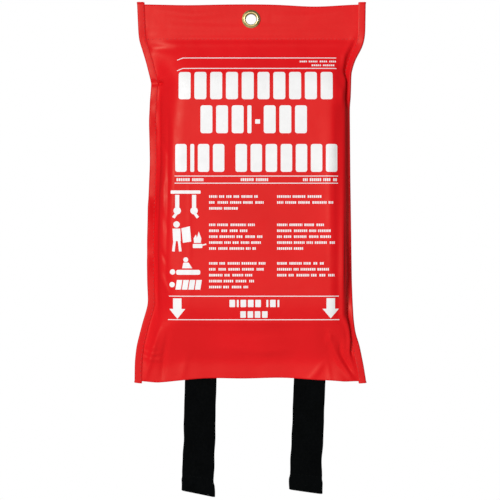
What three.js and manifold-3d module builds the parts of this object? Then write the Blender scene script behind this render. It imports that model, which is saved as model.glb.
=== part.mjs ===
// A folded fire blanket in its soft wall pouch, hung by an eyelet, with two pull straps below.
//
// Units are millimetres and +Z is up. The origin is the centre of the hanging eyelet, halfway
// through the header. The pouch's front faces -Y, and its back lies against the wall, at +Y.
// "Fullness" is how far the pouch bulges: 0 where its two panels lie flat on each other, as in
// the header, and 1 where they wrap the folded blanket.
import * as THREE from "three";
import { mergeVertices } from "three/addons/utils/BufferGeometryUtils.js";
import Module from "manifold-3d";

// ---- Driving dimensions ----

const GAP = 0.3; // clearance between pieces that touch on the real object
const FABRIC = 0.5; // thickness of the coated fabric
const THREAD = 0.4; // diameter of the sewing thread

// Heights of the pouch, down from the eyelet
const HEADER_TOP = 11.5;
const HEADER_SEAM = -16;
const SHOULDER = -46; // full thickness from here
const HIP = -230; // down to here
const LIP = -268; // flat again from here to the mouth
const MOUTH = -280.5;
const NUB_TOP = 13.2; // the bindings' ends stand past the fabric
const NUB_BOTTOM = -284;

// Half widths to the outside of the side bindings
const HEADER_HALF = 88.6;
const WAIST_HALF = 79.5;
const MOUTH_HALF = 90.6;

// Section of a panel at full thickness, on the middle of the fabric
const SEAM_DEPTH = 0.4; // distance of the fabric from the seam plane in the flat parts
const FULL_DEPTH = 12.55; // and on the flat front and back
const BODY_HALF = 73.9; // half width of the bulging part
const FILLET = 0.8; // where the side turns out into the seam allowance
const CORNER = FULL_DEPTH - SEAM_DEPTH - FILLET;
const MOUTH_FULLNESS = 0.075; // the lips stay apart by the thickness of the straps

// Side bindings
const BINDING_WIDTH = 4.5;
const BINDING_SLOT = 0.95; // half height of the slot that holds both panels' edges
const BINDING_SEAM_INSET = 3.1; // from the outside in to the stitches

// Eyelet
const HOLE_R = 4.2;
const BARREL_R = 4.7;
const FLANGE_R = 7.2;
const FLANGE_HEIGHT = 1.3;
const CLINCH_R = 6.3;
const WASHER_R = 7.6;
const WASHER_THICKNESS = 0.8;
const EYELET_METAL = 0.5; // thickness of the rolled brass
const EYELET_PLAY = 0.4; // room round the barrel in the fabric and in the washer

// Folded blanket
const PACK_HALF = 72.9;
const PACK_TOP = -36;
const PACK_BOTTOM = -236;
const PACK_FRONT = -9.5;
const PACK_BACK = 11.2;
const PACK_EDGE = 9; // radius of its folded edges

// Straps
const STRAP_WIDTH = 25;
const STRAP_THICKNESS = 1.2;
const STRAP_TOP = -176; // upper end of the sewn stretch
const STRAP_BEND = -286; // the tails swing about this height
const BEND_GAP = 1; // room above and below the bend
const HEM_LENGTH = 7.5;
const HEM_SEAM_DROP = 1.8; // from the hem's raw edge down to its stitches
const HEM_SEAM_INSET = 1.5; // and from the strap's sides in to their ends
const BOX_WIDTH = 19;
const BOX_TOP = -181;
const BOX_HEIGHT = 36;
const STRAPS = {
  left: { x: -39.3, drift: -2.3, end: -369.8, slant: -5.4 },
  right: { x: 45.7, drift: -3.5, end: -368.3, slant: -3.7 },
};

// Hook and loop closure in the middle of the mouth
const CLOSURE_WIDTH = 30;
const CLOSURE_TOP = -269.5;
const CLOSURE_BOTTOM = -279.5;
const CLOSURE_THICKNESS = 0.5;

const wasm = await Module();
wasm.setup();

// ---- Materials ----

const MATERIALS = {
  pvc: { color: 0xe4202a, roughness: 0.38, metalness: 0 },
  red_thread: { color: 0xc81c24, roughness: 0.7, metalness: 0 },
  brass: { color: 0xc9b45c, roughness: 0.3, metalness: 1 },
  hook_and_loop: { color: 0xa81c22, roughness: 0.95, metalness: 0 },
  glass_cloth: { color: 0xe8e4d8, roughness: 0.85, metalness: 0 },
  webbing: { color: 0x080809, roughness: 0.9, metalness: 0 },
  black_thread: { color: 0x101010, roughness: 0.8, metalness: 0 },
};

function named(name, geometry, finish) {
  const mesh = new THREE.Mesh(geometry, new THREE.MeshStandardMaterial(MATERIALS[finish]));
  mesh.name = name;
  return mesh;
}

// ---- Helpers ----

const mix = (a, b, share) => a + (b - a) * share;
const between = (a, b, steps) => Array.from({ length: steps + 1 }, (_, i) => mix(a, b, i / steps));

function smooth(share) {
  const t = Math.min(1, Math.max(0, share));
  return t * t * (3 - 2 * t);
}

// A closed sheet of even thickness, from the grid of points on its middle surface.
function thickSheet(grid, thickness) {
  const rows = grid.length;
  const columns = grid[0].length;
  const normalAt = (row, column) => {
    const down = grid[Math.min(row + 1, rows - 1)][column].clone();
    down.sub(grid[Math.max(row - 1, 0)][column]);
    const across = grid[row][Math.min(column + 1, columns - 1)].clone();
    across.sub(grid[row][Math.max(column - 1, 0)]);
    return across.cross(down).normalize();
  };
  const points = [];
  for (const side of [-1, 1]) {
    for (let row = 0; row < rows; row += 1) {
      for (let column = 0; column < columns; column += 1) {
        const offset = normalAt(row, column).multiplyScalar((side * thickness) / 2);
        points.push(...offset.add(grid[row][column]).toArray());
      }
    }
  }
  const id = (skin, row, column) => (skin * rows + row) * columns + column;
  const faces = [];
  const quad = (a, b, c, d) => faces.push(a, b, c, a, c, d);
  for (let row = 0; row < rows - 1; row += 1) {
    for (let column = 0; column < columns - 1; column += 1) {
      const ring = [
        [row, column],
        [row + 1, column],
        [row + 1, column + 1],
        [row, column + 1],
      ];
      quad(...ring.map(([r, c]) => id(0, r, c)));
      quad(...ring.reverse().map(([r, c]) => id(1, r, c)));
    }
  }
  for (let column = 0; column < columns - 1; column += 1) {
    quad(id(0, 0, column), id(0, 0, column + 1), id(1, 0, column + 1), id(1, 0, column));
    const last = rows - 1;
    quad(id(0, last, column + 1), id(0, last, column), id(1, last, column), id(1, last, column + 1));
  }
  for (let row = 0; row < rows - 1; row += 1) {
    quad(id(0, row + 1, 0), id(0, row, 0), id(1, row, 0), id(1, row + 1, 0));
    const last = columns - 1;
    quad(id(0, row, last), id(0, row + 1, last), id(1, row + 1, last), id(1, row, last));
  }
  const geometry = new THREE.BufferGeometry();
  geometry.setAttribute("position", new THREE.Float32BufferAttribute(points, 3));
  geometry.setIndex(faces);
  return geometry;
}

function toSolid(geometry) {
  const bare = geometry.clone();
  bare.deleteAttribute("normal");
  bare.deleteAttribute("uv");
  const merged = mergeVertices(bare, 1e-3);
  return new wasm.Manifold(
    new wasm.Mesh({
      numProp: 3,
      vertProperties: new Float32Array(merged.attributes.position.array),
      triVerts: new Uint32Array(merged.index.array),
    }),
  );
}

function toGeometry(solid) {
  const mesh = solid.getMesh();
  const geometry = new THREE.BufferGeometry();
  geometry.setAttribute("position", new THREE.BufferAttribute(mesh.vertProperties, 3));
  geometry.setIndex(new THREE.BufferAttribute(mesh.triVerts, 1));
  return geometry;
}

// The same piece on the other side of the seam plane.
function mirroredY(geometry) {
  const mirrored = geometry.clone().applyMatrix4(new THREE.Matrix4().makeScale(1, -1, 1));
  const index = mirrored.index.array;
  for (let i = 0; i < index.length; i += 3) {
    [index[i + 1], index[i + 2]] = [index[i + 2], index[i + 1]];
  }
  return mirrored;
}

// A round thread or cord with its middle along the points.
function threadAlong(points) {
  const section = new THREE.Shape();
  const sides = 6;
  for (let side = 0; side < sides; side += 1) {
    const turn = (2 * Math.PI * side) / sides;
    const corner = [(Math.cos(turn) * THREAD) / 2, (Math.sin(turn) * THREAD) / 2];
    if (side === 0) {
      section.moveTo(...corner);
    } else {
      section.lineTo(...corner);
    }
  }
  section.closePath();
  const path = new THREE.CurvePath();
  for (let i = 1; i < points.length; i += 1) {
    path.add(new THREE.LineCurve3(points[i - 1], points[i]));
  }
  return new THREE.ExtrudeGeometry(section, { steps: points.length, extrudePath: path });
}

// ---- Shape of the pouch ----

function fullness(z) {
  if (z > SHOULDER) {
    return smooth((HEADER_SEAM - z) / (HEADER_SEAM - SHOULDER));
  }
  return mix(1, MOUTH_FULLNESS, smooth((HIP - z) / (HIP - LIP)));
}

// Half the width that the pouch would have at this height if it lay flat.
function flatHalfAt(z) {
  return z > (SHOULDER + HIP) / 2 ? HEADER_HALF : MOUTH_HALF;
}

// Half the width to the outside of the bindings: the full pouch is drawn in.
function edgeAt(z) {
  return mix(flatHalfAt(z), WAIST_HALF, fullness(z));
}

// Half the section at full thickness: [x, depth] from the middle to the fabric's cut edge.
function fullSection() {
  const flatEnd = BODY_HALF - CORNER;
  const points = between(0, flatEnd, 3).map((x) => [x, FULL_DEPTH]);
  for (const turn of between(0, Math.PI / 2, 5).slice(1)) {
    const x = flatEnd + CORNER * Math.sin(turn);
    points.push([x, FULL_DEPTH - CORNER + CORNER * Math.cos(turn)]);
  }
  const root = BODY_HALF + FILLET;
  for (const turn of between(0, Math.PI / 2, 2).slice(1)) {
    points.push([root - FILLET * Math.cos(turn), SEAM_DEPTH + FILLET - FILLET * Math.sin(turn)]);
  }
  for (const x of between(root, WAIST_HALF - FABRIC - GAP, 2).slice(1)) {
    points.push([x, SEAM_DEPTH]);
  }
  return points;
}

// The section's points with their place along the fabric, from 0 in the middle to 1 at the edge.
function sectionWithShares() {
  const points = fullSection();
  const lengths = [0];
  for (let i = 1; i < points.length; i += 1) {
    const [x0, d0] = points[i - 1];
    const [x1, d1] = points[i];
    lengths.push(lengths[i - 1] + Math.hypot(x1 - x0, d1 - d0));
  }
  const total = lengths[lengths.length - 1];
  return points.map(([x, depth], i) => ({ x, depth, share: lengths[i] / total }));
}

function panelRow(section, z) {
  const full = fullness(z);
  const flatHalf = flatHalfAt(z) - FABRIC - GAP;
  const half = section.map(({ x, depth, share }) => {
    const across = mix(share * flatHalf, x, full);
    return new THREE.Vector3(across, -mix(SEAM_DEPTH, depth, full), z);
  });
  const other = half.slice(1).map((p) => new THREE.Vector3(-p.x, p.y, p.z));
  return [...other.reverse(), ...half];
}

function panelHeights() {
  return [
    ...between(HEADER_TOP, HEADER_SEAM, 2),
    ...between(HEADER_SEAM, SHOULDER, 8).slice(1),
    ...between(SHOULDER, HIP, 2).slice(1),
    ...between(HIP, LIP, 8).slice(1),
    MOUTH,
  ];
}

function frontPanel() {
  const section = sectionWithShares();
  const sheet = thickSheet(
    panelHeights().map((z) => panelRow(section, z)),
    FABRIC,
  );
  const holeDepth = 10;
  const hole = new THREE.CylinderGeometry(BARREL_R + EYELET_PLAY, BARREL_R + EYELET_PLAY, holeDepth, 24);
  return toGeometry(toSolid(sheet).subtract(toSolid(hole)));
}

// ---- Side bindings ----

function bindingRow(side, z) {
  const outer = edgeAt(z);
  const inner = outer - BINDING_WIDTH;
  const face = BINDING_SLOT + FABRIC;
  const outline = [
    [inner, -face],
    [outer - FABRIC, -face],
    [outer, -face + FABRIC],
    [outer, face - FABRIC],
    [outer - FABRIC, face],
    [inner, face],
    [inner, BINDING_SLOT],
    [outer - FABRIC, BINDING_SLOT],
    [outer - FABRIC, -BINDING_SLOT],
    [inner, -BINDING_SLOT],
  ];
  return outline.map(([x, y]) => new THREE.Vector3(side * x, y, z));
}

function bindingHeights() {
  return [
    NUB_TOP,
    ...between(HEADER_SEAM, SHOULDER, 8),
    ...between(HIP, LIP, 8),
    NUB_BOTTOM,
  ];
}

function sideBinding(side) {
  const rows = bindingHeights().map((z) => bindingRow(side, z));
  const count = rows[0].length;
  const outline = rows[0].map((p) => new THREE.Vector2(p.x, p.y));
  const caps = THREE.ShapeUtils.triangulateShape(outline, []);
  const clockwise = THREE.ShapeUtils.isClockWise(outline);
  const faces = [];
  const add = (a, b, c) => faces.push(...(clockwise ? [a, c, b] : [a, b, c]));
  for (let row = 0; row < rows.length - 1; row += 1) {
    for (let i = 0; i < count; i += 1) {
      const next = (i + 1) % count;
      const upper = row * count;
      const lower = upper + count;
      add(upper + i, lower + i, lower + next);
      add(upper + i, lower + next, upper + next);
    }
  }
  const last = (rows.length - 1) * count;
  for (const [a, b, c] of caps) {
    const facesUp = new THREE.Triangle(rows[0][a], rows[0][b], rows[0][c]);
    const up = facesUp.getNormal(new THREE.Vector3()).z > 0;
    faces.push(...(up ? [a, b, c] : [a, c, b]));
    faces.push(...(up ? [last + a, last + c, last + b] : [last + a, last + b, last + c]));
  }
  const geometry = new THREE.BufferGeometry();
  const points = rows.flat().flatMap((p) => p.toArray());
  geometry.setAttribute("position", new THREE.Float32BufferAttribute(points, 3));
  geometry.setIndex(faces);
  return geometry;
}

function bindingThread(side, face) {
  const depth = BINDING_SLOT + FABRIC + GAP + THREAD / 2;
  const heights = bindingHeights().map((z) => Math.min(HEADER_TOP, Math.max(MOUTH, z)));
  return threadAlong(
    heights.map((z) => new THREE.Vector3(side * (edgeAt(z) - BINDING_SEAM_INSET), face * depth, z)),
  );
}

function headerThread(face) {
  const depth = SEAM_DEPTH + FABRIC / 2 + GAP + THREAD / 2;
  const reach = HEADER_HALF - BINDING_WIDTH - 1;
  return threadAlong([
    new THREE.Vector3(-reach, face * depth, HEADER_SEAM + THREAD),
    new THREE.Vector3(reach, face * depth, HEADER_SEAM + THREAD),
  ]);
}

// ---- Eyelet, turned about Y ----

// A ring turned from its [radius, depth] outline, where depth grows from the front to the back.
function turned(outline) {
  const profile = outline.map(([radius, depth]) => new THREE.Vector2(radius, depth)).reverse();
  profile.push(profile[0].clone());
  return new THREE.LatheGeometry(profile, 32);
}

const FACE_OF_HEADER = SEAM_DEPTH + FABRIC / 2 + GAP;
const WASHER_BACK = FACE_OF_HEADER + WASHER_THICKNESS;

function eyeletBarrel() {
  const lip = WASHER_BACK + GAP;
  return turned([
    [HOLE_R, -FACE_OF_HEADER - FLANGE_HEIGHT * 0.6],
    [HOLE_R, lip + EYELET_METAL * 0.5],
    [HOLE_R + 0.6, lip + EYELET_METAL * 1.4],
    [CLINCH_R - 0.6, lip + EYELET_METAL * 1.4],
    [CLINCH_R, lip + EYELET_METAL * 0.7],
    [CLINCH_R, lip],
    [BARREL_R, lip],
    [BARREL_R, -FACE_OF_HEADER],
    [FLANGE_R, -FACE_OF_HEADER],
    [FLANGE_R, -FACE_OF_HEADER - FLANGE_HEIGHT * 0.3],
    [FLANGE_R - 0.7, -FACE_OF_HEADER - FLANGE_HEIGHT * 0.85],
    [FLANGE_R - 1.6, -FACE_OF_HEADER - FLANGE_HEIGHT],
    [HOLE_R + 0.9, -FACE_OF_HEADER - FLANGE_HEIGHT],
  ]);
}

function eyeletWasher() {
  return turned([
    [BARREL_R + EYELET_PLAY, FACE_OF_HEADER],
    [BARREL_R + EYELET_PLAY, WASHER_BACK],
    [WASHER_R - 0.4, WASHER_BACK],
    [WASHER_R, WASHER_BACK - 0.4],
    [WASHER_R, FACE_OF_HEADER],
  ]);
}

// ---- Folded blanket ----

function roundedRectangle(halfWidth, halfHeight, radius) {
  const shape = new THREE.Shape();
  shape.moveTo(-halfWidth + radius, -halfHeight);
  shape.lineTo(halfWidth - radius, -halfHeight);
  shape.absarc(halfWidth - radius, -halfHeight + radius, radius, -Math.PI / 2, 0);
  shape.absarc(halfWidth - radius, halfHeight - radius, radius, 0, Math.PI / 2);
  shape.absarc(-halfWidth + radius, halfHeight - radius, radius, Math.PI / 2, Math.PI);
  shape.absarc(-halfWidth + radius, -halfHeight + radius, radius, Math.PI, Math.PI * 1.5);
  return shape;
}

function foldedBlanket() {
  const halfHeight = (PACK_TOP - PACK_BOTTOM) / 2;
  const outline = roundedRectangle(PACK_HALF - PACK_EDGE, halfHeight - PACK_EDGE, 2);
  const geometry = new THREE.ExtrudeGeometry(outline, {
    depth: PACK_BACK - PACK_FRONT - 2 * PACK_EDGE,
    bevelThickness: PACK_EDGE,
    bevelSize: PACK_EDGE,
    bevelSegments: 4,
    curveSegments: 3,
  });
  geometry.rotateX(-Math.PI / 2); // its depth now runs along +Y
  return geometry.translate(0, PACK_FRONT + PACK_EDGE, (PACK_TOP + PACK_BOTTOM) / 2);
}

// ---- Straps ----

const STRAP_DEPTH = PACK_FRONT - GAP - STRAP_THICKNESS / 2;

// The strap lies on the pack's front, then comes in with the closing panel to the seam plane.
function strapY(z) {
  return (STRAP_DEPTH * (fullness(z) - MOUTH_FULLNESS)) / (1 - MOUTH_FULLNESS);
}

function strapInner({ x }) {
  const heights = [STRAP_TOP, ...between(HIP, LIP, 10), STRAP_BEND + BEND_GAP];
  const rows = heights.map((z) =>
    [-1, 1].map((side) => new THREE.Vector3(x + (side * STRAP_WIDTH) / 2, strapY(z), z)),
  );
  return thickSheet(rows, STRAP_THICKNESS);
}

// The tail's middle line as [depth, distance down], with its end folded up behind it as a hem.
function tailLine(length) {
  const fold = (STRAP_THICKNESS + GAP) / 2;
  const line = between(BEND_GAP, length - fold, 3).map((down) => [0, down]);
  for (const turn of between(0, Math.PI, 4).slice(1)) {
    line.push([fold - fold * Math.cos(turn), length - fold + fold * Math.sin(turn)]);
  }
  line.push([2 * fold, length - HEM_LENGTH]);
  return line;
}

function strapTail({ x, drift, end, slant }) {
  const length = STRAP_BEND - end;
  const rows = tailLine(length).map(([y, down]) => {
    const along = down / length;
    return [-1, 1].map((side) => {
      const across = x + drift * along + (side * STRAP_WIDTH) / 2;
      const longer = (side * slant * along) / 2;
      return new THREE.Vector3(across, y, STRAP_BEND - down + longer);
    });
  });
  return thickSheet(rows, STRAP_THICKNESS);
}

function hemThread({ x, drift, end, slant }) {
  const depth = -STRAP_THICKNESS / 2 - GAP - THREAD / 2;
  const reach = STRAP_WIDTH / 2 - HEM_SEAM_INSET;
  const height = end + HEM_LENGTH - HEM_SEAM_DROP;
  const tilt = (slant * reach) / STRAP_WIDTH;
  return threadAlong([
    new THREE.Vector3(x + drift - reach, depth, height - tilt),
    new THREE.Vector3(x + drift + reach, depth, height + tilt),
  ]);
}

// A rectangle of stitches with a cross in it, as one flat thread-thick frame.
function boxStitch({ x }) {
  const halfWidth = BOX_WIDTH / 2;
  const halfHeight = BOX_HEIGHT / 2;
  const frame = roundedRectangle(halfWidth, halfHeight, THREAD / 2);
  const slope = halfHeight / halfWidth;
  const diagonal = (THREAD / 2) * Math.hypot(1, slope); // half a thread, measured up the page
  const innerX = halfWidth - THREAD;
  const innerZ = halfHeight - THREAD;
  for (const side of [-1, 1]) {
    const tall = new THREE.Path();
    tall.moveTo((side * diagonal) / slope, 0);
    tall.lineTo(side * innerX, innerX * slope - diagonal);
    tall.lineTo(side * innerX, -innerX * slope + diagonal);
    tall.closePath();
    const wide = new THREE.Path();
    wide.moveTo(0, side * diagonal);
    wide.lineTo((innerZ - diagonal) / slope, side * innerZ);
    wide.lineTo((-innerZ + diagonal) / slope, side * innerZ);
    wide.closePath();
    frame.holes.push(tall, wide);
  }
  const geometry = new THREE.ExtrudeGeometry(frame, {
    depth: THREAD,
    bevelEnabled: false,
    curveSegments: 2,
  });
  geometry.rotateX(Math.PI / 2); // its depth now runs along -Y
  const face = STRAP_DEPTH - STRAP_THICKNESS / 2 - GAP;
  return geometry.translate(x, face, BOX_TOP - halfHeight);
}

// ---- Closure ----

function closureTape(face) {
  const height = CLOSURE_TOP - CLOSURE_BOTTOM;
  const outline = roundedRectangle(CLOSURE_WIDTH / 2, height / 2, 1);
  const geometry = new THREE.ExtrudeGeometry(outline, {
    depth: CLOSURE_THICKNESS,
    bevelEnabled: false,
    curveSegments: 2,
  });
  geometry.rotateX(Math.PI / 2);
  const middle = (face * (GAP + CLOSURE_THICKNESS)) / 2;
  const y = middle + CLOSURE_THICKNESS / 2;
  return geometry.translate(0, y, (CLOSURE_TOP + CLOSURE_BOTTOM) / 2);
}

// ---- The object ----

const group = new THREE.Group();
const front = frontPanel();
group.add(named("front_panel", front, "pvc"));
group.add(named("back_panel", mirroredY(front), "pvc"));
group.add(named("header_needle_thread", headerThread(-1), "red_thread"));
group.add(named("header_bobbin_thread", headerThread(1), "red_thread"));
group.add(named("eyelet_barrel", eyeletBarrel(), "brass"));
group.add(named("eyelet_washer", eyeletWasher(), "brass"));
group.add(named("closure_hook_tape", closureTape(-1), "hook_and_loop"));
group.add(named("closure_loop_tape", closureTape(1), "hook_and_loop"));
group.add(named("folded_blanket", foldedBlanket(), "glass_cloth"));
for (const [hand, side] of [
  ["left", -1],
  ["right", 1],
]) {
  group.add(named(`${hand}_side_binding`, sideBinding(side), "pvc"));
  group.add(named(`${hand}_binding_needle_thread`, bindingThread(side, -1), "red_thread"));
  group.add(named(`${hand}_binding_bobbin_thread`, bindingThread(side, 1), "red_thread"));
  group.add(named(`${hand}_strap_inner`, strapInner(STRAPS[hand]), "webbing"));
  group.add(named(`${hand}_strap_tail`, strapTail(STRAPS[hand]), "webbing"));
  group.add(named(`${hand}_strap_box_stitch`, boxStitch(STRAPS[hand]), "black_thread"));
  group.add(named(`${hand}_strap_hem_thread`, hemThread(STRAPS[hand]), "black_thread"));
}

export default group;
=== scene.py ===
"""A fire blanket in its soft wall pouch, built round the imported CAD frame.

Everything is in metres in the part's own frame: the origin is the centre of the hanging eyelet,
the front faces -Y and +Z is up. Lists of points in mm are scaled by MM where they are used.
"""
import math
import random

import bmesh
import bpy
import numpy as np
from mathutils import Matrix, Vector
from mathutils.bvhtree import BVHTree


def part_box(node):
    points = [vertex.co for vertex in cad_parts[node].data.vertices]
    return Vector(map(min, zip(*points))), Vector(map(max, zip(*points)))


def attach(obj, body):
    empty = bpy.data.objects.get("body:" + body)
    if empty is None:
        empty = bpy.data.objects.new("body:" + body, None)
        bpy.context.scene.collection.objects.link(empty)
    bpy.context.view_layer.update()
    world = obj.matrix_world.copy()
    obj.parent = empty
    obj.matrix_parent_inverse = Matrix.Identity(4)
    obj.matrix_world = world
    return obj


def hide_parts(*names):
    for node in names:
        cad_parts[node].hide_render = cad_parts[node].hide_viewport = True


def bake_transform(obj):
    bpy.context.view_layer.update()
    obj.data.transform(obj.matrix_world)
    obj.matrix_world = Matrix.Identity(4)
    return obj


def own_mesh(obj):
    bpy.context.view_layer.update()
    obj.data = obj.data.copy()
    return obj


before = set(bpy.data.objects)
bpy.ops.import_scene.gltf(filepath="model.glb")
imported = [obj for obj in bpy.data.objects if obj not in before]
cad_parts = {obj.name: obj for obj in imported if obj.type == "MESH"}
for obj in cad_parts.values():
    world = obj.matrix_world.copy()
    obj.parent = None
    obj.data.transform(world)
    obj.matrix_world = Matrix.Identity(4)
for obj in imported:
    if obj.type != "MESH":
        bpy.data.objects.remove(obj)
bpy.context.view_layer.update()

MM = 0.001

# ---- Driving sizes ----

FABRIC = 0.5 * MM
FLAT_HALF = 89.4 * MM  # half width of the envelope, laid flat
FIN = 5.5 * MM  # width of the bound seam allowance at each side
HEADER_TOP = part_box("front_panel")[1].z
HEADER_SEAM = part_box("header_needle_thread")[0].z
FLAT_BOTTOM = -280.6 * MM  # the mouth before the pack draws it up
PACK_LOW, PACK_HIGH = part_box("folded_blanket")
EYELET_LOW, EYELET_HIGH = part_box("eyelet_barrel")
WASHER_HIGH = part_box("eyelet_washer")[1]
LAYER_GAP = 0.4 * MM  # from the seam plane to the middle of each panel, where they lie flat
LIP_GAP = 1.3 * MM  # the same where the straps pass between the lips


# ---- Small helpers ----

def mix(a, b, share):
    return a + (b - a) * share


def smooth(share):
    t = np.clip(share, 0, 1)
    return t * t * (3 - 2 * t)


def arc(center, radius, start, end, steps):
    """Points on a round stretch of an outline, with angles in degrees."""
    turns = [math.radians(mix(start, end, i / steps)) for i in range(steps + 1)]
    return [(center[0] + radius * math.cos(t), center[1] + radius * math.sin(t)) for t in turns]


def set_all(thing, **values):
    for name, value in values.items():
        setattr(thing, name, value)


def add_object(name, data):
    thing = bpy.data.objects.new(name, data)
    bpy.context.scene.collection.objects.link(thing)
    return thing


def new_object(name, vertices, faces, edges=()):
    mesh = bpy.data.meshes.new(name)
    joins = ([tuple(int(i) for i in join) for join in group] for group in (edges, faces))
    mesh.from_pydata([tuple(v) for v in vertices], *joins)
    mesh.validate()
    mesh.shade_smooth()
    return add_object(name, mesh)


def read_places(mesh):
    """The mesh's vertices as rows of x, y and z."""
    places = np.zeros(len(mesh.vertices) * 3)
    mesh.vertices.foreach_get("co", places)
    return places.reshape(-1, 3)


def write_places(mesh, places):
    mesh.vertices.foreach_set("co", places.ravel())
    mesh.update()


def grid_faces(rows, columns):
    return [
        (r * columns + c, (r + 1) * columns + c, (r + 1) * columns + c + 1, r * columns + c + 1)
        for r in range(rows - 1)
        for c in range(columns - 1)
    ]


def grid_piece(name, grid, flipped=False):
    """A surface through the points of a [row, column, xyz] grid."""
    faces = grid_faces(*grid.shape[:2])
    if flipped:
        faces = [face[::-1] for face in faces]
    return new_object(name, grid.reshape(-1, 3), faces)


def tube_faces(rings, sides, start=0, looped=False):
    """Joins rings of vertices that follow each other; a tube that isn't looped is capped at its ends."""
    faces = []
    for ring in range(rings if looped else rings - 1):
        near = start + ring * sides
        far = start + (ring + 1) % rings * sides
        for i in range(sides):
            following = (i + 1) % sides
            faces.append((near + i, near + following, far + following, far + i))
    if not looped:
        last = start + (rings - 1) * sides
        faces.append(range(start, start + sides)[::-1])
        faces.append(range(last, last + sides))
    return faces


def ring_piece(name, rings, looped=False):
    """A tube through rings that all have the same number of points."""
    vertices = [point for ring in rings for point in ring]
    piece = new_object(name, vertices, tube_faces(len(rings), len(rings[0]), looped=looped))
    fix_normals(piece)
    return piece


def fix_normals(piece):
    bm = bmesh.new()
    bm.from_mesh(piece.data)
    bmesh.ops.recalc_face_normals(bm, faces=bm.faces)
    bm.to_mesh(piece.data)
    bm.free()


def apply_modifier(piece, kind, **settings):
    set_all(piece.modifiers.new(kind, kind), **settings)
    graph = bpy.context.evaluated_depsgraph_get()
    old = piece.data
    final = bpy.data.meshes.new_from_object(piece.evaluated_get(graph))
    piece.modifiers.clear()
    piece.data = final
    bpy.data.meshes.remove(old)


def subdivide(piece, levels, boundary="ALL"):
    apply_modifier(piece, "SUBSURF", levels=levels, render_levels=levels, boundary_smooth=boundary)


def thicken(piece, thickness, offset=0):
    apply_modifier(piece, "SOLIDIFY", thickness=thickness, offset=offset)


def finish_piece(piece, look, slot, body, *nodes):
    """Gives a piece its look, its body and the CAD nodes that it stands for."""
    piece.data.materials.clear()
    piece.data.materials.append(look.material)
    if body:
        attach(piece, body)
    if nodes:
        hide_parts(*nodes)


def flatten_with_blanket(piece):
    """Gives the piece a mesh of its own."""
    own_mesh(piece)


# ---- Materials ----

class Nodes:
    """The node tree of a material or a world."""

    def __init__(self, owner):
        owner.use_nodes = True
        self.tree = owner.node_tree

    def fill(self, node, inputs):
        """Sets the node's inputs, or links those whose value is another node's output."""
        for name, value in inputs.items():
            if isinstance(value, bpy.types.NodeSocket):
                self.tree.links.new(value, node.inputs[name])
            else:
                node.inputs[name].default_value = value

    def node(self, kind, inputs, output, **settings):
        made = self.tree.nodes.new(kind)
        set_all(made, **settings)
        self.fill(made, inputs)
        return made.outputs[output]


class Look(Nodes):
    """A principled material with helpers for its procedural detail, which is sized in mm."""

    def __init__(self, name, color, roughness, metallic=0.0, **sockets):
        self.material = bpy.data.materials.new(name)
        super().__init__(self.material)
        self.shader = self.tree.nodes["Principled BSDF"]
        self.where = self.tree.nodes.new("ShaderNodeTexCoord").outputs["Object"]
        self.relief = {}
        self.fill(self.shader, {"Base Color": (*color, 1), "Roughness": roughness, "Metallic": metallic})
        self.fill(self.shader, {socket.replace("_", " "): value for socket, value in sockets.items()})

    def noise(self, size, detail):
        """Soft noise with features of the given size."""
        inputs = {"Vector": self.where, "Scale": 1 / (size * MM), "Detail": detail}
        return self.node("ShaderNodeTexNoise", inputs, "Fac")

    def bands(self, pitch, direction="DIAGONAL"):
        """Even bands across the given axis, one every pitch."""
        inputs = {"Vector": self.where, "Scale": math.pi / (10 * pitch * MM)}
        return self.node("ShaderNodeTexWave", inputs, "Fac", wave_type="BANDS", bands_direction=direction)

    def weave(self, pitch):
        """A plain weave: bands both ways, multiplied."""
        inputs = {0: self.bands(pitch, "X"), 1: self.bands(pitch, "Z")}
        return self.node("ShaderNodeMath", inputs, "Value", operation="MULTIPLY")

    def patches(self, size, detail, least, most, low=0.3, high=0.7):
        """Noise that is spread over the values least..most as it goes from low to high."""
        inputs = {"From Min": low, "From Max": high, "To Min": least, "To Max": most}
        inputs["Value"] = self.noise(size, detail)
        return self.node("ShaderNodeMapRange", inputs, "Result")

    def tint(self, size, detail, dark, light, *limits):
        """Mottles the surface's colour between dark and light."""
        inputs = {"Factor": self.patches(size, detail, 0, 1, *limits), "A": (*dark, 1), "B": (*light, 1)}
        color = self.node("ShaderNodeMix", inputs, "Result", data_type="RGBA")
        self.fill(self.shader, {"Base Color": color})

    def rough(self, size, detail, least, most):
        self.fill(self.shader, {"Roughness": self.patches(size, detail, least, most)})

    def bump(self, source, depth):
        """Adds relief of the given depth to what is there."""
        inputs = {"Height": source, "Distance": depth * MM, **self.relief}
        self.relief = {"Normal": self.node("ShaderNodeBump", inputs, "Normal")}
        self.fill(self.shader, self.relief)


def pvc_look(name, color, dark):
    look = Look(name, color, 0.4, Specular_IOR_Level=0.16, Specular_Tint=(1, 0.85, 0.6, 1))
    look.tint(60, 4, dark, color, 0.35, 0.65)
    look.rough(9, 5, 0.34, 0.48)
    look.bump(look.weave(0.95), 0.012)
    look.bump(look.noise(3, 2), 0.03)
    look.bump(look.noise(16, 2), 0.12)
    return look


def thread_look(name, color, gloss):
    look = Look(name, color, 0.6, Specular_IOR_Level=gloss)
    look.tint(1.5, 2, [c * 0.75 for c in color], color)
    look.bump(look.bands(0.35), 0.05)
    return look


PVC = pvc_look("red_pvc", (0.8, 0.0095, 0.0145), (0.74, 0.0085, 0.0125))
BINDING = pvc_look("red_pvc_binding", (0.77, 0.0095, 0.0145), (0.7, 0.0085, 0.0125))
RED_THREAD = thread_look("red_thread_look", (0.85, 0.035, 0.035), 0.5)
BLACK_THREAD = thread_look("black_thread_look", (0.002, 0.003, 0.003), 0.08)

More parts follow.
